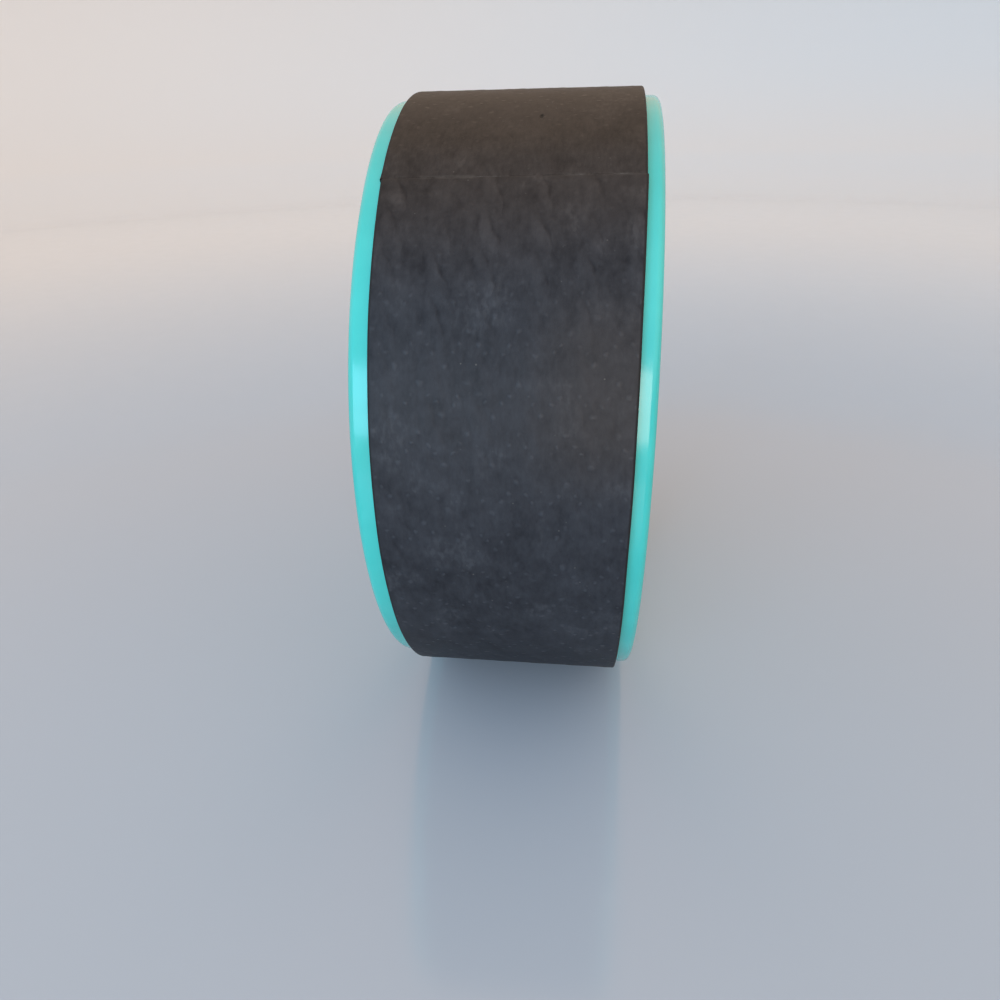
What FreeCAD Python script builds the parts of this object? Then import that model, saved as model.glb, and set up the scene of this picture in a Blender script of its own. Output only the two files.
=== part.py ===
import FreeCAD, Part
import os
import Sketcher
from FreeCAD import Placement, Rotation, Vector

# Yoga wheel: a hollow moulded hoop of two equal halves, wrapped in a foam band.
# The wheel stands upright. Its axis is +Y, and the origin is the centre of the wheel.

DRIVING_SIZES = [
    ("hoop_diameter", 312.0, "outside of the plastic hoop"),
    ("hoop_width", 128.0, "rim face to rim face"),
    ("rim_depth", 10.0, "hoop section from its outside to its bore, at the joint"),
    ("rim_round", 3.5, "radius on both corners of each rim"),
    ("outer_wall", 3.0, "wall under the band"),
    ("inner_wall", 3.0, "wall that faces the bore"),
    ("end_wall", 3.5, "wall at the rim face"),
    ("bore_draft", 0.6, "how much the bore's radius grows from the joint to the rim"),
    ("joint_chamfer", 0.4, "chamfer on the bore edge of each half, the line seen inside"),
    ("rib_count", 8, "ribs across the hollow of one half"),
    ("rib_thickness", 2.0, "thickness of one rib"),
    ("rib_setback", 0.5, "how far the ribs stop short of the joint"),
    ("peg_count", 4, "pegs on one half, and sockets for the other half's pegs"),
    ("peg_diameter", 3.0, "peg"),
    ("peg_length", 6.0, "how far a peg stands out of the joint face"),
    ("peg_clearance", 0.1, "room round a peg in its socket"),
    ("peg_end_room", 0.5, "room past a peg's tip in its socket"),
    ("peg_rib_wall", 1.4, "plastic left on each side of a socket in its rib"),
    ("film_thickness", 0.2, "adhesive film"),
    ("film_inset", 1.0, "how far the film stops short of the band's edges"),
    ("band_thickness", 3.8, "foam strip"),
    ("band_width", 110.0, "foam strip, across the wheel"),
    ("band_offset", 1.0, "how far the band lies off the middle, stuck on by hand"),
    ("band_edge_round", 0.8, "radius on the band's two outer edges"),
    ("seam_angle", 54.0, "place of the seam, in degrees up from +X"),
    ("seam_gap", 0.5, "room between the strip's two cut ends"),
    ("glue_recess", 0.3, "how far the set glue lies below the band's surface"),
]

os.makedirs("parts", exist_ok=True)
doc = FreeCAD.newDocument("yoga_wheel")
sheet = doc.addObject("Spreadsheet::Sheet", "Sizes")
for row, (alias, value, meaning) in enumerate(DRIVING_SIZES, start=1):
    sheet.set(f"A{row}", meaning)
    sheet.set(f"B{row}", str(value))
    sheet.setAlias(f"B{row}", alias)
doc.recompute()

# Radii and half widths that several pieces share, as expressions on the sheet
HOOP_RADIUS = "Sizes.hoop_diameter / 2"
HALF_WIDTH = "Sizes.hoop_width / 2"
BORE_RADIUS = f"{HOOP_RADIUS} - Sizes.rim_depth"
CAVITY_TOP = f"{HOOP_RADIUS} - Sizes.outer_wall"
CAVITY_FLOOR = f"{BORE_RADIUS} + Sizes.inner_wall"
CAVITY_END = f"{HALF_WIDTH} - Sizes.end_wall"
PEG_CIRCLE = f"({CAVITY_TOP} + {CAVITY_FLOOR}) / 2"
SOCKET_DIAMETER = "Sizes.peg_diameter + 2 * Sizes.peg_clearance"
PEG_RIB = f"{SOCKET_DIAMETER} + 2 * Sizes.peg_rib_wall"
PEG_ANGLE = "90 / Sizes.peg_count"
SOCKET_ANGLE = "270 / Sizes.peg_count"
FILM_TOP = f"{HOOP_RADIUS} + Sizes.film_thickness"
BAND_TOP = f"{FILM_TOP} + Sizes.band_thickness"
BAND_LOW_EDGE = "Sizes.band_offset - Sizes.band_width / 2"
BAND_HIGH_EDGE = "Sizes.band_offset + Sizes.band_width / 2"

# Rounded corners are drawn in chords
QUARTER_TURN = 90.0
RIM_CHORDS = 3
BAND_CHORDS = 2

ORIGIN = (-1, 1)


def value(expression):
    """Number that an expression on the sheet stands for now."""
    return float(sheet.evalExpression(expression))


def origin_feature(body, role):
    """One of the body's own planes or axes."""
    return next(f for f in body.Origin.OriginFeatures if f.Role == role)


def new_body(name):
    body = doc.addObject("PartDesign::Body", name)
    body.Label = name
    return body


def new_sketch(body, name, plane):
    sketch = body.newObject("Sketcher::SketchObject", name)
    sketch.AttachmentSupport = [(origin_feature(body, plane), "")]
    sketch.MapMode = "FlatFace"
    return sketch


def place_point(sketch, geometry, end, x, y):
    """Tie one point of the sketch to expressions for its two coordinates."""
    for kind, expression in (("DistanceX", x), ("DistanceY", y)):
        number = sketch.addConstraint(
            Sketcher.Constraint(kind, *ORIGIN, geometry, end, value(expression)))
        sketch.setExpression(f"Constraints[{number}]", expression)


def draw_polygon(sketch, corners):
    """Closed outline of straight lines, with every corner tied to the sheet."""
    points = [Vector(value(x), value(y), 0) for x, y in corners]
    for start, end in zip(points, points[1:] + points[:1]):
        sketch.addGeometry(Part.LineSegment(start, end), False)
    for index, (x, y) in enumerate(corners):
        following = (index + 1) % len(corners)
        sketch.addConstraint(Sketcher.Constraint("Coincident", index, 2, following, 1))
        place_point(sketch, index, 1, x, y)


def draw_circle(sketch, x, y, diameter):
    centre = Vector(value(x), value(y), 0)
    sketch.addGeometry(Part.Circle(centre, Vector(0, 0, 1), value(diameter) / 2), False)
    place_point(sketch, 0, 3, x, y)
    number = sketch.addConstraint(Sketcher.Constraint("Diameter", 0, value(diameter)))
    sketch.setExpression(f"Constraints[{number}]", diameter)


def revolve(body, name, corners):
    """Turn an outline of (radius, width) corners once round the wheel's axis."""
    sketch = new_sketch(body, name + "_profile", "XY_Plane")
    draw_polygon(sketch, corners)
    feature = body.newObject("PartDesign::Revolution", name)
    feature.Profile = sketch
    feature.ReferenceAxis = (sketch, ["V_Axis"])
    feature.Angle = 360
    doc.recompute()
    return feature


def pad(body, name, sketch, length, towards_rim):
    """Grow a sketch on the joint plane, towards the rim or out of the joint."""
    feature = body.newObject("PartDesign::Pad", name)
    feature.Profile = sketch
    feature.setExpression("Length", length)
    feature.Reversed = towards_rim
    doc.recompute()
    return feature


def round_the_wheel(body, name, features, count):
    """Repeat features evenly about the wheel's axis."""
    pattern = body.newObject("PartDesign::PolarPattern", name)
    pattern.Originals = features
    pattern.Axis = (origin_feature(body, "Y_Axis"), [""])
    pattern.Angle = 360
    pattern.setExpression("Occurrences", count)
    body.Tip = pattern
    doc.recompute()
    return pattern


def rounded_corner(x, y, radius, towards_x, steps):
    """Corner of an outline at (x, y), rounded in chords, from its side on to its end face.

    towards_x is +1 where the corner rounds off towards greater x, and -1 towards smaller x.
    """
    points = []
    for step in range(steps + 1):
        angle = QUARTER_TURN * step / steps
        points.append((f"{x} + ({towards_x}) * {radius} * (1 - cos({angle}))",
                       f"{y} - {radius} * (1 - sin({angle}))"))
    return points


# Half hoop
# A channel section that opens at the joint in the middle of the wheel. Thin ribs tie its two
# walls together. Thick ribs carry pegs and sockets, which take turns round the joint, so that
# one mould makes both halves.

def add_ribs(body, name, angle, thickness, setback, count):
    """Ribs that tie the two walls together, from near the joint into the end wall."""
    sketch = new_sketch(body, name + "_outline", "XZ_Plane")
    sketch.setExpression("AttachmentOffset.Base.z", f"-{setback}")
    sketch.setExpression("AttachmentOffset.Rotation.Angle", angle)
    inside = f"{BORE_RADIUS} + Sizes.inner_wall / 2"
    outside = f"{HOOP_RADIUS} - Sizes.outer_wall / 2"
    draw_polygon(sketch, [
        (inside, f"-({thickness}) / 2"),
        (outside, f"-({thickness}) / 2"),
        (outside, f"({thickness}) / 2"),
        (inside, f"({thickness}) / 2"),
    ])
    rib = pad(body, name, sketch, f"{HALF_WIDTH} - Sizes.end_wall / 2 - {setback}", True)
    round_the_wheel(body, name + "s", [rib], count)


def joint_circle(body, name, angle, diameter):
    """Circle on the joint plane, in the middle of the hoop's section."""
    sketch = new_sketch(body, name, "XZ_Plane")
    draw_circle(sketch, f"{PEG_CIRCLE} * cos({angle})", f"{PEG_CIRCLE} * sin({angle})", diameter)
    return sketch


def add_pegs(body):
    """Pegs that stand out of the joint."""
    sketch = joint_circle(body, "peg_outline", PEG_ANGLE, "Sizes.peg_diameter")
    peg = pad(body, "peg", sketch, "Sizes.peg_length", False)
    round_the_wheel(body, "pegs", [peg], "Sizes.peg_count")


def add_sockets(body):
    """Blind holes between the pegs, for the pegs of the other half."""
    sketch = joint_circle(body, "socket_outline", SOCKET_ANGLE, SOCKET_DIAMETER)
    socket = body.newObject("PartDesign::Pocket", "socket")
    socket.Profile = sketch
    socket.setExpression("Length", "Sizes.peg_length + Sizes.peg_end_room")
    doc.recompute()
    round_the_wheel(body, "sockets", [socket], "Sizes.peg_count")


def make_hoop_half(name):
    body = new_body(name)
    rim_bore = f"{BORE_RADIUS} + Sizes.bore_draft"
    outer_corner = rounded_corner(HOOP_RADIUS, HALF_WIDTH, "Sizes.rim_round", -1, RIM_CHORDS)
    bore_corner = rounded_corner(rim_bore, HALF_WIDTH, "Sizes.rim_round", 1, RIM_CHORDS)
    revolve(body, "channel", [
        (HOOP_RADIUS, "0"),
        *outer_corner,
        *reversed(bore_corner),
        (BORE_RADIUS, "Sizes.joint_chamfer"),
        (f"{BORE_RADIUS} + Sizes.joint_chamfer", "0"),
        (CAVITY_FLOOR, "0"),
        (f"{CAVITY_FLOOR} + Sizes.bore_draft", CAVITY_END),
        (CAVITY_TOP, CAVITY_END),
        (CAVITY_TOP, "0"),
    ])
    add_ribs(body, "thin_rib", "0", "Sizes.rib_thickness", "Sizes.rib_setback", "Sizes.rib_count")
    add_ribs(body, "peg_rib", PEG_ANGLE, PEG_RIB, "0", "Sizes.peg_count")
    add_ribs(body, "socket_rib", SOCKET_ANGLE, PEG_RIB, "0", "Sizes.peg_count")
    add_pegs(body)
    add_sockets(body)
    return body


# Foam band, the film that holds it and the glue in its seam

def make_adhesive_film():
    body = new_body("adhesive_film")
    revolve(body, "film", [
        (HOOP_RADIUS, f"{BAND_LOW_EDGE} + Sizes.film_inset"),
        (FILM_TOP, f"{BAND_LOW_EDGE} + Sizes.film_inset"),
        (FILM_TOP, f"{BAND_HIGH_EDGE} - Sizes.film_inset"),
        (HOOP_RADIUS, f"{BAND_HIGH_EDGE} - Sizes.film_inset"),
    ])
    return body


def make_foam_band():
    body = new_body("foam_band")
    high_edge = rounded_corner(BAND_TOP, BAND_HIGH_EDGE, "Sizes.band_edge_round", -1, BAND_CHORDS)
    low_edge = rounded_corner(BAND_TOP, f"-({BAND_LOW_EDGE})", "Sizes.band_edge_round", -1, BAND_CHORDS)
    revolve(body, "strip", [
        (FILM_TOP, BAND_LOW_EDGE),
        *[(x, f"-({y})") for x, y in reversed(low_edge)],
        *high_edge,
        (FILM_TOP, BAND_HIGH_EDGE),
    ])
    seam_sketch = new_sketch(body, "seam_outline", "XY_Plane")
    inside = f"{FILM_TOP} - Sizes.band_thickness / 2"
    outside = f"{BAND_TOP} + Sizes.band_thickness / 2"
    beyond = "Sizes.band_thickness"
    draw_polygon(seam_sketch, [
        (inside, f"{BAND_LOW_EDGE} - {beyond}"),
        (outside, f"{BAND_LOW_EDGE} - {beyond}"),
        (outside, f"{BAND_HIGH_EDGE} + {beyond}"),
        (inside, f"{BAND_HIGH_EDGE} + {beyond}"),
    ])
    seam = body.newObject("PartDesign::Pocket", "seam")
    seam.Profile = seam_sketch
    seam.setExpression("Length", "Sizes.seam_gap")
    seam.Midplane = True
    turn_to_seam(body)
    return body


def make_seam_glue():
    body = new_body("seam_glue")
    sketch = new_sketch(body, "glue_outline", "XY_Plane")
    top = f"{BAND_TOP} - Sizes.glue_recess"
    draw_polygon(sketch, [
        (FILM_TOP, f"{BAND_LOW_EDGE} + Sizes.film_inset"),
        (top, f"{BAND_LOW_EDGE} + Sizes.film_inset"),
        (top, f"{BAND_HIGH_EDGE} - Sizes.film_inset"),
        (FILM_TOP, f"{BAND_HIGH_EDGE} - Sizes.film_inset"),
    ])
    glue = body.newObject("PartDesign::Pad", "glue")
    glue.Profile = sketch
    glue.setExpression("Length", "Sizes.seam_gap")
    glue.Midplane = True
    turn_to_seam(body)
    return body


def turn_to_seam(body):
    """Turn a body made with its seam at +X up to the seam's place."""
    body.Placement = Placement(Vector(0, 0, 0), Rotation(Vector(0, 1, 0), 0))
    body.setExpression("Placement.Rotation.Angle", "-Sizes.seam_angle")
    doc.recompute()


hoop_half_left = make_hoop_half("hoop_half_left")
hoop_half_right = make_hoop_half("hoop_half_right")
hoop_half_left.Placement = Placement(Vector(0, 0, 0), Rotation(Vector(1, 0, 0), 180))
pieces = [
    hoop_half_left,
    hoop_half_right,
    make_adhesive_film(),
    make_foam_band(),
    make_seam_glue(),
]
doc.recompute()

# Every feature has to be sound before anything is written
for feature in doc.Objects:
    if "Invalid" in feature.State or "Error" in feature.State:
        raise RuntimeError(f"{feature.Label} failed: {feature.State}")
for piece in pieces:
    if piece.Shape.isNull() or not piece.Shape.isValid() or len(piece.Shape.Solids) != 1:
        raise RuntimeError(f"{piece.Label} isn't one sound solid")
    print(piece.Label, "volume", round(piece.Shape.Volume / 1000, 2), "cm3")
    piece.Shape.exportStep(f"parts/{piece.Label}.step")
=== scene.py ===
# %% [markdown]
# # A yoga wheel in a plain studio
#
# A hollow turquoise hoop, moulded in two halves, wrapped in one strip of black foam. The packed
# model gives the sizes and places. This lesson adds what a camera sees: the gloss of the
# plastic, the grain of the foam, and the small marks of a strip that was glued on by hand.

# %% Load the frame
import math

import bmesh
import bpy
from mathutils import Euler, Matrix, Vector, noise


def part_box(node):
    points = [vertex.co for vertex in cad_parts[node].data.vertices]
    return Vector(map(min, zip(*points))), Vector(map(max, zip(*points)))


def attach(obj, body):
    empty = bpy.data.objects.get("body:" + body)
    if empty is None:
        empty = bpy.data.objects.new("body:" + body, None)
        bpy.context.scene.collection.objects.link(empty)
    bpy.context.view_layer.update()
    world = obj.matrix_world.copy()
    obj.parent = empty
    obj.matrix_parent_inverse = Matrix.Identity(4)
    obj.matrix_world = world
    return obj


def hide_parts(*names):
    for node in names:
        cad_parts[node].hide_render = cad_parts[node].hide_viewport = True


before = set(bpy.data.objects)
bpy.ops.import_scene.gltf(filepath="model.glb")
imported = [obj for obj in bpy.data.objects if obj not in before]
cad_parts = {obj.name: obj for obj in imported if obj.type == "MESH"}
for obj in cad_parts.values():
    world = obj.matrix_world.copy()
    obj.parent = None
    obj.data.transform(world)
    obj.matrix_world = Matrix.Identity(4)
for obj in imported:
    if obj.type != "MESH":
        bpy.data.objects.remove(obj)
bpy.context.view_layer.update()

# %% [markdown]
# ## Sizes
#
# Millimetres are easier to think in than metres, so sizes are written as `5 * MM`. Radii and
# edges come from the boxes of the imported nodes, so the new pieces sit where the solids are.

# %% Sizes from the frame
MM = 0.001
DEG = math.pi / 180
NEAR = 0.01 * MM

foam_low, foam_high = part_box("foam_band")
_, film_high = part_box("adhesive_film")
_, hoop_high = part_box("hoop_half_right")
glue_low, glue_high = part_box("seam_glue")

BAND_RADIUS = foam_high[2]
BAND_INNER_RADIUS = film_high[2]
BAND_EDGES = (foam_low[1], foam_high[1])
HOOP_RADIUS = hoop_high[2]
HALF_WIDTH = hoop_high[1]
FLOOR_HEIGHT = -BAND_RADIUS
glue_middle = [(a + b) / 2 for a, b in zip(glue_low, glue_high)]
SEAM_ANGLE = math.atan2(glue_middle[2], glue_middle[0])
print(f"band radius {BAND_RADIUS / MM:.1f} mm, seam at {SEAM_ANGLE / DEG:.1f} degrees")

# %% [markdown]
# ## Camera
#
# The outline of the wheel in the picture fixes the camera: how far the two rims curve gives the
# distance, and how they lean gives the height. The lens is a wide one, and a small upward shift
# takes the place of a crop. A plain view transform keeps the plastic as bright as it is dyed.

# %% Camera
CAMERA_PLACE = (0.43678, 0.03770, 0.15598)
CAMERA_TURN = (59.545 * DEG, 1.241 * DEG, 96.882 * DEG)
SENSOR_WIDTH = 36.0
LENS_SHARE = 0.751
FRAME_SHIFT = 0.0402
CLIP_START = 0.01

camera_data = bpy.data.cameras.new("camera")
camera_data.sensor_width = SENSOR_WIDTH
camera_data.lens = SENSOR_WIDTH * LENS_SHARE
camera_data.shift_y = FRAME_SHIFT
camera_data.clip_start = CLIP_START
camera = bpy.data.objects.new("camera", camera_data)
camera.location = CAMERA_PLACE
camera.rotation_euler = Euler(CAMERA_TURN)
bpy.context.collection.objects.link(camera)
bpy.context.scene.camera = camera
bpy.context.scene.view_settings.view_transform = "Standard"
print("camera", round(camera_data.lens, 2), "mm lens")

# %% [markdown]
# ## Shader sums
#
# A material is a graph of nodes. Wrapping a socket in a small class lets a sum such as
# `1 - mask * 0.3` add its Math nodes by itself, which reads better than wiring them by hand.

# %% A socket that can be used in sums


class Signal:
    """One output socket of a node, with arithmetic."""

    def __init__(self, socket):
        self.socket = socket
        self.tree = socket.id_data

    def node(self, kind, settings=None, inputs=None, output=0):
        """Any other node, in the same graph."""
        return add_node(self.tree, kind, settings, inputs, output)

    def maths(self, operation, *values):
        return self.node("ShaderNodeMath", {"operation": operation}, dict(enumerate(values)))

    def __add__(self, other):
        return self.maths("ADD", self, other)

    def __radd__(self, other):
        return self.maths("ADD", other, self)

    def __sub__(self, other):
        return self.maths("SUBTRACT", self, other)

    def __rsub__(self, other):
        return self.maths("SUBTRACT", other, self)

    def __mul__(self, other):
        return self.maths("MULTIPLY", self, other)

    def __rmul__(self, other):
        return self.maths("MULTIPLY", other, self)

    def __truediv__(self, other):
        return self.maths("DIVIDE", self, other)

    def __pow__(self, other):
        return self.maths("POWER", self, other)

    def abs(self):
        return self.maths("ABSOLUTE", self)

    def fraction(self):
        return self.maths("FRACT", self)

    def step(self, low, high):
        """0 below low, 1 above high, and a smooth rise between them."""
        return self.node("ShaderNodeMapRange",
                         {"interpolation_type": "SMOOTHSTEP"},
                         {"Value": self, "From Min": low, "From Max": high})


def plug(tree, socket, value):
    """Link a signal to a socket, or set the socket to a plain value."""
    if isinstance(value, Signal):
        tree.links.new(value.socket, socket)
    else:
        socket.default_value = value


def add_node(tree, kind, settings=None, inputs=None, output=0):
    """Any node: its settings first, then the values or links of its sockets."""
    node = tree.nodes.new(kind)
    for name, value in (settings or {}).items():
        setattr(node, name, value)
    for key, value in (inputs or {}).items():
        plug(tree, node.inputs[key], value)
    return Signal(node.outputs[output])


def split(vector):
    """The three parts of a vector signal."""
    first_part = vector.node("ShaderNodeSeparateXYZ", {}, {0: vector})
    return [Signal(socket) for socket in first_part.socket.node.outputs]


def new_material(name):
    """A material with an empty shader, and the signal of its Object coordinates."""
    material = bpy.data.materials.new(name)
    material.use_nodes = True
    tree = material.node_tree
    shader = next(n for n in tree.nodes if n.type == "BSDF_PRINCIPLED")
    place = add_node(tree, "ShaderNodeTexCoord", output="Object")
    return material, shader, place


def finish_shader(shader, **sockets):
    """Feed the shader's sockets. Underscores in the names stand for spaces."""
    for name, value in sockets.items():
        plug(shader.id_data, shader.inputs[name.replace("_", " ")], value)


def noise_at(place, size, detail=2.0, roughness=0.5):
    """Smooth noise whose blobs are about the given size in metres."""
    return place.node("ShaderNodeTexNoise", {},
                      {"Vector": place, "Scale": 1.0 / size, "Detail": detail,
                       "Roughness": roughness})


def mix_colours(share, first, second):
    """First colour where share is 0, second where it is 1."""
    colours = {key: (*c, 1.0) if isinstance(c, tuple) else c
               for key, c in ((6, first), (7, second))}
    return share.node("ShaderNodeMix", {"data_type": "RGBA"}, {0: share, **colours}, output=2)


def bump(height, distance, strength=1.0):
    """A normal that follows a height signal, where a height of 1 is a distance in metres."""
    return height.node("ShaderNodeBump", {},
                       {"Height": height, "Distance": distance, "Strength": strength})


print("shader sums ready")

# %% [markdown]
# ## Floor and light
#
# A studio cove is one sheet that bends up from the floor to the wall, so no corner shows. Turned
# round the wheel it works from every side.

# %% Cove
COVE_RADIUS = 3.2
COVE_BEND = 0.7
COVE_HEIGHT = 0.9
COVE_STEPS = 96
BEND_STEPS = 16

cove_mesh = bmesh.new()
corners = [(0.0, FLOOR_HEIGHT), (COVE_RADIUS, FLOOR_HEIGHT), (COVE_RADIUS, COVE_HEIGHT)]
line = [cove_mesh.verts.new((x, 0.0, z)) for x, z in corners]
for start, end in zip(line, line[1:]):
    cove_mesh.edges.new((start, end))
bmesh.ops.bevel(cove_mesh, geom=[line[1]], offset=COVE_BEND, segments=BEND_STEPS, profile=0.5,
                affect="VERTICES", material=-1)
bmesh.ops.spin(cove_mesh, geom=cove_mesh.verts[:] + cove_mesh.edges[:], cent=(0, 0, 0),
               axis=(0, 0, 1), angle=math.tau, steps=COVE_STEPS, use_merge=True)
bmesh.ops.remove_doubles(cove_mesh, verts=cove_mesh.verts[:], dist=NEAR)
bmesh.ops.recalc_face_normals(cove_mesh, faces=cove_mesh.faces[:])


def new_piece(name, mesh_data):
    """Turn a finished bmesh into a smooth object at the origin."""
    mesh = bpy.data.meshes.new(name)
    mesh_data.to_mesh(mesh)
    mesh_data.free()
    mesh.polygons.foreach_set("use_smooth", [True] * len(mesh.polygons))
    piece = bpy.data.objects.new(name, mesh)
    bpy.context.collection.objects.link(piece)
    return piece


cove = new_piece("cove", cove_mesh)
print("cove", len(cove.data.polygons), "faces")

# %% [markdown]
# The paint is a bluish grey by the wheel and gets paler further off, so no horizon shows. Its
# gloss is a little uneven, and it gives the wheel a soft mirror image to stand on.

# %% Cove paint
FLOOR_COLOUR = (0.42, 0.50, 0.60)
WALL_COLOUR = (0.80, 0.78, 0.76)
PALER_REACH = (0.30, 2.2)
PAINT_GRAIN = 40 * MM

cove_paint, shader, place = new_material("cove_paint")
grain = noise_at(place, PAINT_GRAIN, detail=3.0)
far = place.node("ShaderNodeVectorMath", {"operation": "LENGTH"}, {0: place}, output="Value")
finish_shader(shader,
              Base_Color=mix_colours((far + grain * 0.05).step(*PALER_REACH),
                                     FLOOR_COLOUR, WALL_COLOUR),
              Roughness=0.12 + grain * 0.05)
finish_shader(shader, Specular_IOR_Level=0.75)
cove.data.materials.append(cove_paint)
print("cove paint gets paler from", PALER_REACH[0], "to", PALER_REACH[1], "m")

# %% [markdown]
# A window of two panes stands in front, and its mirror image is the bright bar on each rim. The
# left pane is cool and the right one is warm, as a window with sky on one side would be.

# %% Window
PANE_SIZE = (1.10, 0.95)
WINDOW_AIM = (0, 0, 0.05)
PANES = {"window_left": ((2.0, -0.905, 0.58), 14.0, (0.38, 0.73, 1.0)),
         "window_right": ((2.0, 0.205, 0.58), 12.0, (1.0, 0.87, 0.77))}


def soft_light(name, stand, power, colour):
    """A pane of soft light that stands at a place and is aimed at the wheel."""
    data = bpy.data.lights.new(name, "AREA")
    data.shape = "RECTANGLE"
    data.size, data.size_y = PANE_SIZE
    data.energy = power
    data.color = colour
    light = bpy.data.objects.new(name, data)
    light.location = stand
    aim = Vector(WINDOW_AIM) - Vector(stand)
    light.rotation_euler = aim.to_track_quat("-Z", "Y").to_euler()
    bpy.context.collection.objects.link(light)


for pane, (stand, power, colour) in PANES.items():
    soft_light(pane, stand, power, colour)

# %% [markdown]
# The rest of the light is air. It is warm behind the wheel and cool before it, so the foam looks
# brownish on top and bluish in the middle. Where the camera looks past the cove it sees plain
# grey air, so the studio stays plain from every side.

# %% Air
AIR_BACK = (0.88, 0.68, 0.53)
AIR_FRONT_LEFT = (0.58, 0.90, 1.22)
AIR_FRONT_RIGHT = (1.22, 1.09, 1.02)
AIR_SEEN = (0.80, 0.80, 0.80)
BACK_TO_FRONT = (-0.35, 0.75)
LEFT_TO_RIGHT = (-0.6, 0.6)

world = bpy.data.worlds.new("studio_air")
world.use_nodes = True
air = next(n for n in world.node_tree.nodes if n.type == "BACKGROUND")
ahead, across, _ = split(add_node(world.node_tree, "ShaderNodeTexCoord", output="Generated"))
front_air = mix_colours(across.step(*LEFT_TO_RIGHT), AIR_FRONT_LEFT, AIR_FRONT_RIGHT)
studio_air = mix_colours(ahead.step(*BACK_TO_FRONT), AIR_BACK, front_air)
seen = add_node(world.node_tree, "ShaderNodeLightPath", output="Is Camera Ray")
plug(world.node_tree, air.inputs["Color"], mix_colours(seen, studio_air, AIR_SEEN))
bpy.context.scene.world = world
print("air", world.name)

# %% [markdown]
# ## Plastic hoop
#
# Each half of the hoop is a moulding: a wide ring whose rim is rounded on both corners. Its
# section is drawn once as four corners, the two rim corners are bevelled into arcs, and a spin
# turns it round the wheel's axis. A small chamfer on the bore side of the joint leaves the fine
# line that shows inside the wheel where the halves meet. The left moulding is a little out of
# true: near the top its rim leans out by almost two millimetres, and the band follows it.

# %% Half hoops
RIM_DEPTH = 10 * MM
RIM_ROUND = 3.5 * MM
BORE_DRAFT = 0.6 * MM
JOINT_CHAMFER = 0.4 * MM
HOOP_STEPS = 288
RIM_STEPS = 8
CHAMFER_STEPS = 2
HOOP_SHARP = 40 * DEG
WARP = 1.8 * MM
WARP_ANGLE = 90 * DEG
WARP_REACH = 45 * DEG


def warp_aside(point):
    """How far the left side leans out at a point, most at the rim and none at the joint."""
    angle = math.atan2(point.z, point.x)
    near = max(0.0, 1 - abs(angle - WARP_ANGLE) / WARP_REACH)
    return -WARP * near * near * (3 - 2 * near) * max(0.0, -point.y) / HALF_WIDTH


def make_half_hoop(name, side):
    """One moulding, the left one for side -1 and the right one for side 1."""
    shape = bmesh.new()
    bore = HOOP_RADIUS - RIM_DEPTH
    section = [(HOOP_RADIUS, 0.0), (HOOP_RADIUS, HALF_WIDTH), (bore + BORE_DRAFT, HALF_WIDTH),
               (bore, 0.0)]
    points = [shape.verts.new((r, side * y, 0.0)) for r, y in section]
    for start, end in zip(points, points[1:] + points[:1]):
        shape.edges.new((start, end))
    bmesh.ops.bevel(shape, geom=points[1:3], offset=RIM_ROUND, segments=RIM_STEPS, profile=0.5,
                    affect="VERTICES", material=-1)
    joint_edge = [v for v in shape.verts if abs(v.co.y) < NEAR and v.co.x < bore + NEAR]
    bmesh.ops.bevel(shape, geom=joint_edge, offset=JOINT_CHAMFER, segments=CHAMFER_STEPS,
                    profile=0.5, affect="VERTICES", material=-1)
    bmesh.ops.spin(shape, geom=shape.verts[:] + shape.edges[:], cent=(0, 0, 0), axis=(0, 1, 0),
                   angle=math.tau, steps=HOOP_STEPS, use_merge=True)
    bmesh.ops.remove_doubles(shape, verts=shape.verts[:], dist=NEAR)
    for vert in shape.verts:
        vert.co.y += warp_aside(vert.co)
    bmesh.ops.recalc_face_normals(shape, faces=shape.faces[:])
    piece = new_piece(name, shape)
    piece.data.set_sharp_from_angle(angle=HOOP_SHARP)
    return piece


half_hoops = {"hoop_half_left": make_half_hoop("hoop_left", -1),
              "hoop_half_right": make_half_hoop("hoop_right", 1)}
for node, piece in half_hoops.items():
    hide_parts(node)
    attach(piece, "root")
    print(piece.name, len(piece.data.polygons), "faces")

# %% [markdown]
# The plastic is dyed through and glossy from the mould. Its colour is nearly even, so what makes
# it look real is in the gloss: faint clouding, and fine rubbed patches on the rims where hands
# and floors touch it.

# %% Turquoise plastic
TURQUOISE = (0.036, 0.545, 0.520)
TURQUOISE_PALE = (0.052, 0.595, 0.565)
CLOUD_SIZE = 35 * MM
RUB_SIZE = 9 * MM
RIPPLE_SIZE = 22 * MM
RIPPLE_HEIGHT = 0.10 * MM

turquoise, shader, place = new_material("turquoise_plastic")
cloud = noise_at(place, CLOUD_SIZE, detail=3.0)
rubbed = noise_at(place, RUB_SIZE, detail=5.0, roughness=0.65).step(0.52, 0.72)
ripple = noise_at(place, RIPPLE_SIZE, detail=1.0)
finish_shader(shader,
              Base_Color=mix_colours(cloud.step(0.3, 0.7), TURQUOISE, TURQUOISE_PALE),
              Roughness=0.13 + cloud * 0.05 + rubbed * 0.06,
              Normal=bump(ripple, RIPPLE_HEIGHT, 0.5))
finish_shader(shader, Specular_IOR_Level=0.75)
for piece in half_hoops.values():
    piece.data.materials.append(turquoise)
print("turquoise plastic on", [p.name for p in half_hoops.values()])

# %% [markdown]
# ## Foam band
#
# The band is a strip cut from sheet foam, wrapped once and glued, so it has two ends that meet
# in a butt seam. A spin from one end to the other keeps that seam open. It goes in finer steps
# near the ends, where the edges get rounded over, and filling the two holes caps the ends.

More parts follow.
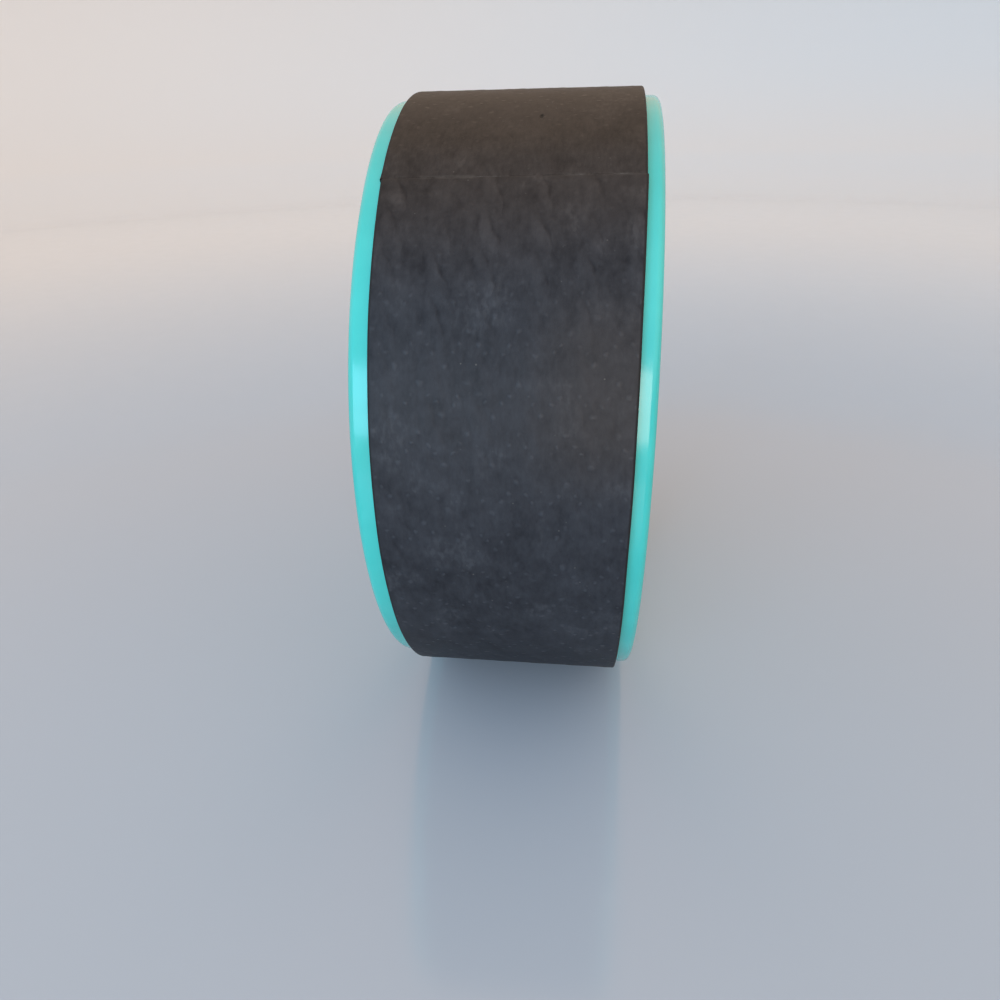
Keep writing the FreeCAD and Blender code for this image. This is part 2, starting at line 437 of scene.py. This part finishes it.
# %% Strip
BAND_EDGE_ROUND = 0.9 * MM
SEAM_GAP = 0.16 * MM
BAND_STEPS = 700
BAND_CUTS = 76
END_LENGTH = 8 * MM
END_STEPS = 16
EDGE_STEPS = 4

low_edge, high_edge = BAND_EDGES
gap_angle = SEAM_GAP / BAND_RADIUS
end_angle = END_LENGTH / BAND_RADIUS
long_angle = math.tau - gap_angle - 2 * end_angle
strip = bmesh.new()
section = [(BAND_INNER_RADIUS, low_edge), (BAND_RADIUS, low_edge), (BAND_RADIUS, high_edge),
           (BAND_INNER_RADIUS, high_edge)]
points = [strip.verts.new((r, y, 0.0)) for r, y in section]
for start, end in zip(points, points[1:] + points[:1]):
    strip.edges.new((start, end))
bmesh.ops.bevel(strip, geom=points[1:3], offset=BAND_EDGE_ROUND, segments=EDGE_STEPS,
                profile=0.5, affect="VERTICES", material=-1)
outer_edges = [e for e in strip.edges if min(v.co.x for v in e.verts) > BAND_RADIUS - NEAR]
top_edge = max(outer_edges, key=lambda e: e.calc_length())
bmesh.ops.subdivide_edges(strip, edges=[top_edge], cuts=BAND_CUTS)
first_end = Matrix.Rotation(-SEAM_ANGLE - gap_angle / 2, 4, "Y")
bmesh.ops.transform(strip, matrix=first_end, verts=strip.verts[:])
front = strip.verts[:] + strip.edges[:]
for angle, steps in ((end_angle, END_STEPS), (long_angle, BAND_STEPS), (end_angle, END_STEPS)):
    front = bmesh.ops.spin(strip, geom=front, cent=(0, 0, 0), axis=(0, 1, 0), angle=-angle,
                           steps=steps)["geom_last"]
bmesh.ops.holes_fill(strip, edges=[e for e in strip.edges if e.is_boundary], sides=0)
bmesh.ops.recalc_face_normals(strip, faces=strip.faces[:])
print("strip", len(strip.faces), "faces")

# %% [markdown]
# Every mark on a strip follows the strip, so each point needs its place on it as it lay flat:
# how far along from the first end, and where across. A UV map keeps these two lengths, in
# metres, before any point is pushed about. The mesh and the material both read them.

# %% Flat lengths
STRIP_LENGTH = math.tau * BAND_RADIUS


def flat_place(point):
    """How far along the strip from its first end a point lies, and where across."""
    angle = (math.atan2(point.z, point.x) - SEAM_ANGLE) % math.tau
    return angle * BAND_RADIUS, point.y


flat_lengths = strip.loops.layers.uv.new("flat_lengths")
for face in strip.faces:
    for loop in face.loops:
        loop[flat_lengths].uv = flat_place(loop.vert.co)
print("strip is", round(STRIP_LENGTH / MM), "mm long")

# %% [markdown]
# The skin is pressed with a faint pattern that repeats every 20 mm: zigzag rows of small dots,
# and leaning scales between them with a groove on each side. The scales are wide enough for the
# mesh, so their relief is real. Dots and grooves are finer than a face and go into the bump.

# %% Pressed scales
REPEAT = 20.2 * MM
FIRST_COLUMN = 8.2 * MM
FIRST_ROW = 4.85 * MM
ZIGZAG_RISE = 0.65
SCALE_LEAN = 0.59
LEAN_START = 0.74
SCALE_LEFT = (0.01, 0.12)
SCALE_RIGHT = (0.24, 0.38)
SCALE_FOOT = (0.04, 0.24)
SCALE_HEAD = (0.62, 0.90)


def ease(value, low, high):
    """0 below low, 1 above high, and a smooth rise between them."""
    share = min(1.0, max(0.0, (value - low) / (high - low)))
    return share * share * (3 - 2 * share)


def scale_at(along, aside):
    """1 on a scale and 0 between the scales."""
    column = ((aside - FIRST_COLUMN) / REPEAT + 0.5) % 1.0 - 0.5
    above = ((along - FIRST_ROW) / REPEAT + abs(column) * 2 * ZIGZAG_RISE) % 1.0
    leaning = column + (above - LEAN_START) * SCALE_LEAN
    wide = ease(column, *SCALE_LEFT) * (1 - ease(leaning, *SCALE_RIGHT))
    return wide * ease(above, *SCALE_FOOT) * (1 - ease(above, *SCALE_HEAD))


print("scale height at three places", [round(scale_at(i * 5 * MM, 12 * MM), 2) for i in range(3)])

# %% [markdown]
# Now the points are pushed about as hands and glue did it. The strip stays wide at its ends and
# narrows where it was pulled, and the ends miss each other a little and lie askew. Its surface
# rides over uneven glue. The upper end is pressed down and the lower one stands a little proud,
# with a rounded lip that catches the light. One corner sticks out.

# %% Marks of hand work
EDGE_WANDER = 0.20 * MM
EDGE_WAVES = 4.0
SURFACE_WANDER = 0.10 * MM
SURFACE_WAVES = 28.0
SCALE_HEIGHT = 0.10 * MM
PLAIN_EDGE = (0.90, 0.97)
END_SPREAD_LEFT = 0.75 * MM
END_SPREAD_RIGHT = 0.50 * MM
MIDDLE_PULL = 0.10 * MM
END_MISS = 0.20 * MM
END_REACH = 45 * MM
SEAM_SHIFT = -1.4 * MM
SEAM_SKEW = 0.6 * MM
SKEW_REACH = 30 * MM
TIP = 0.35 * MM
TIP_REACH = 2.5 * MM
TIP_SHARPNESS = 8
DIP = 0.30 * MM
DIP_REACH = (4 * MM, 17 * MM)
LIP = 0.25 * MM
LIP_REACH = 1.2 * MM
STRIP_SHARP = 50 * DEG

band_middle = (low_edge + high_edge) / 2
half_band = (high_edge - low_edge) / 2


def lay_askew(point, reach, side):
    """Slide a point along the band by as much as the ends lie askew."""
    slide = (SEAM_SHIFT + SEAM_SKEW * side) * math.exp(-abs(reach) / SKEW_REACH)
    point.rotate(Euler((0.0, -slide / BAND_RADIUS, 0.0)))


for vert in strip.verts:
    along, aside = flat_place(vert.co)
    reach = along if along < STRIP_LENGTH / 2 else along - STRIP_LENGTH
    side = (aside - band_middle) / half_band
    outward = Vector((vert.co.x, 0.0, vert.co.z))
    share = (outward.length - BAND_INNER_RADIUS) / (BAND_RADIUS - BAND_INNER_RADIUS)
    outward.normalize()
    near_end = math.exp(-abs(reach) / END_REACH)
    spread = END_SPREAD_LEFT if side < 0 else END_SPREAD_RIGHT
    sidestep = side * (spread * near_end - MIDDLE_PULL * (1 - near_end))
    sidestep -= math.copysign(END_MISS, reach) * near_end
    sidestep += noise.noise(outward * EDGE_WAVES + Vector((0, side * 2.0, 0))) * EDGE_WANDER
    rise = noise.noise(vert.co * SURFACE_WAVES) * SURFACE_WANDER
    rise += SCALE_HEIGHT * scale_at(along, aside) * (1 - ease(abs(side), *PLAIN_EDGE))
    if reach > 0:
        sidestep -= TIP * math.exp(-reach / TIP_REACH) * max(0.0, -side) ** TIP_SHARPNESS
        rise -= DIP * (1 - ease(reach, *DIP_REACH))
    else:
        rise -= LIP * math.exp(reach / LIP_REACH)
    vert.co.y += warp_aside(vert.co) + sidestep
    vert.co += outward * share * rise
    lay_askew(vert.co, reach, side)
print("seam shifted by", SEAM_SHIFT / MM, "mm, upper end pressed down by", DIP / MM, "mm")

foam_band = new_piece("foam_strip", strip)
foam_band.data.set_sharp_from_angle(angle=STRIP_SHARP)
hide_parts("foam_band")
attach(foam_band, "root")

# %% [markdown]
# Closed-cell foam is matt and nearly black. The shader draws the fine part of the pressed
# pattern on the flat lengths: rows of dots, scales and grooves. The tone later paints glints on
# the dots, painted light on the scales and painted shade in the grooves. Soft foam never keeps a
# pattern true, so noise nudges the lengths first.

# %% Foam pattern
DOT_SIZE = 1.05 * MM
DOT_EDGE = (0.1, 1.2)
CORNER_DOT = 1.35
DOT_PLACES = (0.0, 0.37, 0.63, 1.0)
NUDGE = 6 * MM
GROOVE_WIDTH = 0.15
LEFT_GROOVE = ((0.08, 0.25), (0.35, 0.60))
RIGHT_GROOVE = ((0.40, 0.60), (0.80, 0.95))

foam_skin, shader, place = new_material("foam_skin")
flat = place.node("ShaderNodeUVMap", {"uv_map": "flat_lengths"})
along, aside, _ = split(flat)
nudged_along = along + (noise_at(place, 12 * MM, detail=3.0) - 0.5) * NUDGE
nudged_aside = aside + (noise_at(flat, 11 * MM, detail=3.0) - 0.5) * NUDGE
column = ((nudged_aside - FIRST_COLUMN) / REPEAT + 0.5).fraction() - 0.5
arm = column.abs() * 2
row = (nudged_along - FIRST_ROW) / REPEAT


def dots_at(share):
    """1 on the dots that lie this share of the way out along each arm of the zigzag."""
    size = DOT_SIZE * (CORNER_DOT if share in (0.0, 1.0) else 1.0)
    sideways = (arm - share) * (REPEAT / 2)
    upward = ((row + share * ZIGZAG_RISE + 0.5).fraction() - 0.5) * REPEAT
    distance = (sideways * sideways + upward * upward) ** 0.5
    return 1 - distance.step(size * DOT_EDGE[0], size * DOT_EDGE[1])


def between(signal, rise, fall):
    """1 between a smooth rise and a smooth fall, each given by its two limits."""
    return signal.step(*rise) * (1 - signal.step(*fall))


dots = dots_at(DOT_PLACES[0])
for share in DOT_PLACES[1:]:
    dots = dots.maths("MAXIMUM", dots, dots_at(share))
above = (row + arm * ZIGZAG_RISE).fraction()
leaning = column + (above - LEAN_START) * SCALE_LEAN
# painted light: this mask only makes the scales paler in the tone
painted_light_scales = (column.step(*SCALE_LEFT) * (1 - leaning.step(*SCALE_RIGHT))
          * between(above, SCALE_FOOT, SCALE_HEAD))
left_line = 1 - column.abs().step(0.0, GROOVE_WIDTH)
right_line = 1 - (leaning - SCALE_RIGHT[1]).abs().step(0.0, GROOVE_WIDTH)
# the grooves are sunk in the bump and also get painted shade in the tone
grooves_with_painted_shade = left_line * between(above, *LEFT_GROOVE) + right_line * between(above, *RIGHT_GROOVE)
print("zigzag rows of", len(DOT_PLACES), "dots to an arm")

# %% [markdown]
# Between the marks the skin is uneven: streaks and fine strokes that run with the strip,
# blotches, a slow haze, fine cells, smudges and specks of pale dust. Each comes from noise at its
# own size, and noise on squeezed lengths is drawn out along the strip.

# %% Uneven foam
STREAK_SIZE, STREAK_SQUEEZE = 3.2 * MM, 0.6
STROKE_SIZE, STROKE_SQUEEZE = 1.8 * MM, 0.35
BLOTCH_SIZE = 12 * MM
HAZE_SIZE = 55 * MM
CELL_SIZE = 0.7 * MM
SMUDGE_SIZE, SMUDGE_GRAIN = 24 * MM, 2.4 * MM
SPECK_SPACING, DUST_SIZE = 4.0 * MM, 18 * MM


def squeezed(share):
    """The flat lengths with the length along the strip made shorter."""
    return along.node("ShaderNodeCombineXYZ", {}, {0: along * share, 1: aside, 2: 0.0})


drawn_out = squeezed(STREAK_SQUEEZE)
streaks = noise_at(drawn_out, STREAK_SIZE, detail=4.0, roughness=0.6) - 0.5
strokes = noise_at(squeezed(STROKE_SQUEEZE), STROKE_SIZE, detail=3.0, roughness=0.6) - 0.5
blotches = noise_at(place, BLOTCH_SIZE, detail=4.0, roughness=0.6) - 0.5
haze = noise_at(place, HAZE_SIZE, detail=2.0) - 0.5
cells = noise_at(place, CELL_SIZE, detail=2.0)
smudge_area = noise_at(place, SMUDGE_SIZE).step(0.56, 0.70)
smudge = smudge_area * noise_at(drawn_out, SMUDGE_GRAIN).step(0.40, 0.70)
specks = place.node("ShaderNodeTexVoronoi", {"feature": "F1"},
                    {"Vector": place, "Scale": 1 / SPECK_SPACING}, output="Distance")
dust = (1 - specks.step(0.04, 0.13)) * noise_at(place, DUST_SIZE).step(0.56, 0.70)
print("seven kinds of unevenness on", foam_band.name)

# %% [markdown]
# Other marks belong to a place on the strip. Near the seam the scales show more, with painted
# light on them and painted shade in their grooves, the dots are rubbed flat and traces of glue
# line the cut. Above the seam, just below it and in a patch on the right the foam is painted
# browner
# and, in the patch, lighter: painted warm light, the tint of warm light from behind and the right.
# The band's rounded edges are painted dark: painted shade where the band meets the rims. The
# underside is painted darker: painted shade. One small pit is a bubble that broke, its hollow
# painted nearly black as painted shade.

# %% Marks with a place
RUBBED_REACH = (20 * MM, 90 * MM)
CRISP_REACH = (40 * MM, 90 * MM)
WARM_LIGHT_ABOVE_START = (0 * MM, 30 * MM)
WARM_LIGHT_ABOVE_END = (60 * MM, 190 * MM)
WARM_LIGHT_BELOW_END = (0 * MM, 70 * MM)
WARM_PATCH_ASIDE = (0 * MM, 40 * MM)
WARM_PATCH_ALONG = ((40 * MM, 75 * MM), (105 * MM, 150 * MM))
EDGE_SHADE_REACH = (1.4 * MM, 0.5 * MM)
TRACE_REACH = (0.3 * MM, 1.6 * MM)
PIT_ALONG = 40.5 * MM
PIT_ASIDE = 10.5 * MM
PIT_SIZE = (0.4 * MM, 1.2 * MM)
PIT_STRETCH = 0.4
UNDERSIDE = (-130 * MM, -50 * MM)

to_last_end = STRIP_LENGTH - along
to_seam = along.maths("MINIMUM", along, to_last_end)
proud = 0.3 + to_seam.step(*RUBBED_REACH) * 0.7
# painted glints: the dots are paler in the tone; they are also raised in the bump and worn flat
# near the seam
worn_dots_and_painted_glints = dots * noise_at(place, 14 * MM, detail=2.0).step(0.30, 0.56) * proud
under_seam = 1 - to_last_end.step(*CRISP_REACH) * 0.75
# under the seam the pattern shows more: deeper grooves in the bump, painted light on the scales
# and painted shade in the grooves
strong_relief_and_painted_shading = under_seam * noise_at(place, 16 * MM, detail=3.0).step(0.35, 0.65)
# painted warm light: a warm brown tint above the seam, just below it, and in a lighter patch on
# the right
painted_warm_light_above_seam = (1 - along.step(*WARM_LIGHT_ABOVE_END)) * (0.75 + along.step(*WARM_LIGHT_ABOVE_START) * 0.25)
painted_warm_light_below_seam = (1 - to_last_end.step(*WARM_LIGHT_BELOW_END)) * 0.7
painted_warm_light_patch = aside.step(*WARM_PATCH_ASIDE) * between(to_last_end, *WARM_PATCH_ALONG)
painted_warm_light = painted_warm_light_above_seam + painted_warm_light_below_seam + painted_warm_light_patch * 0.45
from_middle = (aside - band_middle).abs()
# painted shade along the band's rounded edges, where the band meets the rims
painted_edge_shade = from_middle.step(half_band - EDGE_SHADE_REACH[0], half_band - EDGE_SHADE_REACH[1])
glue_patches = noise_at(place, 9 * MM, detail=4.0).step(0.42, 0.62)
glue_trace = (1 - to_seam.step(*TRACE_REACH)) * glue_patches
pit_reach = (((along - PIT_ALONG) * PIT_STRETCH) ** 2 + (aside - PIT_ASIDE) ** 2) ** 0.5
pit = 1 - pit_reach.step(*PIT_SIZE)
_, _, height = split(place)
# painted shade: the tone is lifted above the underside, so the foam gets darker towards the bottom
above_painted_underside_shade = height.step(*UNDERSIDE)
print("pit", PIT_ALONG / MM, "mm above the seam")

# %% [markdown]
# All marks are weighed into a few sums: a tone between a dark and a light colour, which also
# carries painted glints, painted light and painted shade, a relief for the bump, a roughness, and
# how pale the dust makes the skin.

# %% Foam skin
FOAM_DARK = (0.0135, 0.0150, 0.0203)
FOAM_LIGHT = (0.0428, 0.0485, 0.0605)
# colours of the painted warm light
PAINTED_WARM_LIT_DARK = (0.0165, 0.0130, 0.0112)
PAINTED_WARM_LIT_PALE = (0.0530, 0.0408, 0.0330)
# painted shade at the band's edges
PAINTED_EDGE_SHADE = (0.016, 0.016, 0.017)
# painted shade inside the pit
PIT_PAINTED_SHADE = (0.004, 0.004, 0.004)
DUST = (0.26, 0.25, 0.23)
STROKE_REACH = (45 * MM, 90 * MM)
RELIEF_HEIGHT = 0.3 * MM


def weigh(start, *pairs):
    """A start value plus every mark times its weight."""
    return sum((mark * weight for mark, weight in pairs), start)


seam_strokes = strokes * (0.8 - along.step(*STROKE_REACH) * 0.5)
# tone: random unevenness plus painted glints, painted light on the scales and the warm patch, and
# painted shade in the grooves and on the underside
tone = weigh(0.14, (streaks, 0.9), (blotches, 1.2), (haze, 0.6), (seam_strokes, 1.0),
             (worn_dots_and_painted_glints, 0.52), ((painted_light_scales - 0.2) * strong_relief_and_painted_shading, 0.25), (grooves_with_painted_shade * strong_relief_and_painted_shading, -0.26),
             (smudge, 0.30), (above_painted_underside_shade, 0.36), (painted_warm_light_patch, 0.15))
relief = weigh(0.0, (cells, 0.08), (worn_dots_and_painted_glints, 0.55), (grooves_with_painted_shade * strong_relief_and_painted_shading, -0.35), (blotches, 0.7),
               (streaks, 0.5), (pit, -2.0))
roughness = weigh(0.52, (blotches, 0.2), (streaks, 0.1), (dots, -0.06))
pale = weigh(0.0, (dust, 0.28), (smudge, 0.02), (glue_trace, 0.08))

dyed_with_painted_light_and_shade = mix_colours(tone, FOAM_DARK, FOAM_LIGHT)
# the foam as painted under warm light
painted_warm_lit = mix_colours(tone, PAINTED_WARM_LIT_DARK, PAINTED_WARM_LIT_PALE)
dust_and_painted_light = mix_colours(pale, mix_colours(painted_warm_light, dyed_with_painted_light_and_shade, painted_warm_lit), DUST)
finish_shader(shader,
              Base_Color=mix_colours(pit, mix_colours(painted_edge_shade, dust_and_painted_light, PAINTED_EDGE_SHADE), PIT_PAINTED_SHADE),
              Roughness=roughness,
              Normal=bump(relief, RELIEF_HEIGHT, 0.8))
finish_shader(shader, Specular_IOR_Level=0.17)
foam_band.data.materials.append(foam_skin)
print("foam skin on", foam_band.name)

# %% [markdown]
# ## Glue in the seam
#
# A little glue was squeezed up between the strip's ends and set in a pale, broken line. It is a
# narrow ribbon behind the proud lip, which rises where the glue shows and sinks elsewhere.

# %% Glue line
GLUE_WIDTH = 0.8 * MM
GLUE_STEPS = 260
GLUE_ROWS = 4
GLUE_INSET = 1 * MM
GLUE_DEPTH = 1.2 * MM
GLUE_GRIT = 1.1 * MM
GLUE_CRUST = 1.5 * MM
CRUST_HEIGHT = 0.2 * MM
GLUE_DARK = (0.030, 0.030, 0.030)
GLUE_PALE = (0.085, 0.080, 0.073)
GLUE_SINK = 0.50 * MM
GLUE_RISE = 0.30 * MM
GLUE_SHOWS = ((-8 * MM, 9 * MM), (29 * MM, 8 * MM), (46 * MM, 5 * MM))

glue = bmesh.new()
bmesh.ops.create_grid(glue, x_segments=GLUE_STEPS, y_segments=GLUE_ROWS, size=0.5)
glue_length = 2 * (half_band - GLUE_INSET)
for vert in glue.verts:
    aside, spread = vert.co.x * glue_length + band_middle, vert.co.y
    lump = sum(math.exp(-((aside - middle) / reach) ** 2) for middle, reach in GLUE_SHOWS)
    grit = noise.noise(Vector((aside / GLUE_GRIT, spread * 2.0, 7.7)))
    crown = 1 - (2 * spread) ** 2
    height = -GLUE_SINK + crown * GLUE_RISE * (0.1 + 0.8 * lump + 0.35 * grit)
    vert.co = Vector((BAND_RADIUS + height, aside, spread * GLUE_WIDTH * (0.8 + 0.4 * grit)))
bmesh.ops.transform(glue, matrix=Matrix.Rotation(-SEAM_ANGLE, 4, "Y"), verts=glue.verts[:])
for vert in glue.verts:
    lay_askew(vert.co, 0.0, (vert.co.y - band_middle) / half_band)
bmesh.ops.solidify(glue, geom=glue.faces[:], thickness=GLUE_DEPTH)
bmesh.ops.recalc_face_normals(glue, faces=glue.faces[:])
glue_line = new_piece("glue_line", glue)
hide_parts("seam_glue")
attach(glue_line, "root")

set_glue, shader, place = new_material("set_glue")
crust = noise_at(place, GLUE_CRUST, detail=4.0)
finish_shader(shader,
              Base_Color=mix_colours(crust.step(0.35, 0.65), GLUE_DARK, GLUE_PALE),
              Roughness=0.55 + crust * 0.2,
              Normal=bump(crust, CRUST_HEIGHT))
glue_line.data.materials.append(set_glue)
print("glue line", len(glue_line.data.polygons), "faces")

# %% [markdown]
# ## Adhesive film
#
# The film under the band keeps its solid. It is seen only as a hair line at the band's edge.

# %% Film
FILM_DARK = (0.20, 0.19, 0.17)
FILM_PALE = (0.30, 0.29, 0.26)
DRAG_SIZE = 4 * MM

milky_film, shader, place = new_material("milky_film")
drag_marks = noise_at(place, DRAG_SIZE, detail=3.0)
finish_shader(shader,
              Base_Color=mix_colours(drag_marks, FILM_DARK, FILM_PALE),
              Roughness=0.5 + drag_marks * 0.2)
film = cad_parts["adhesive_film"]
film.data.materials.clear()
film.data.materials.append(milky_film)
print("film material set")
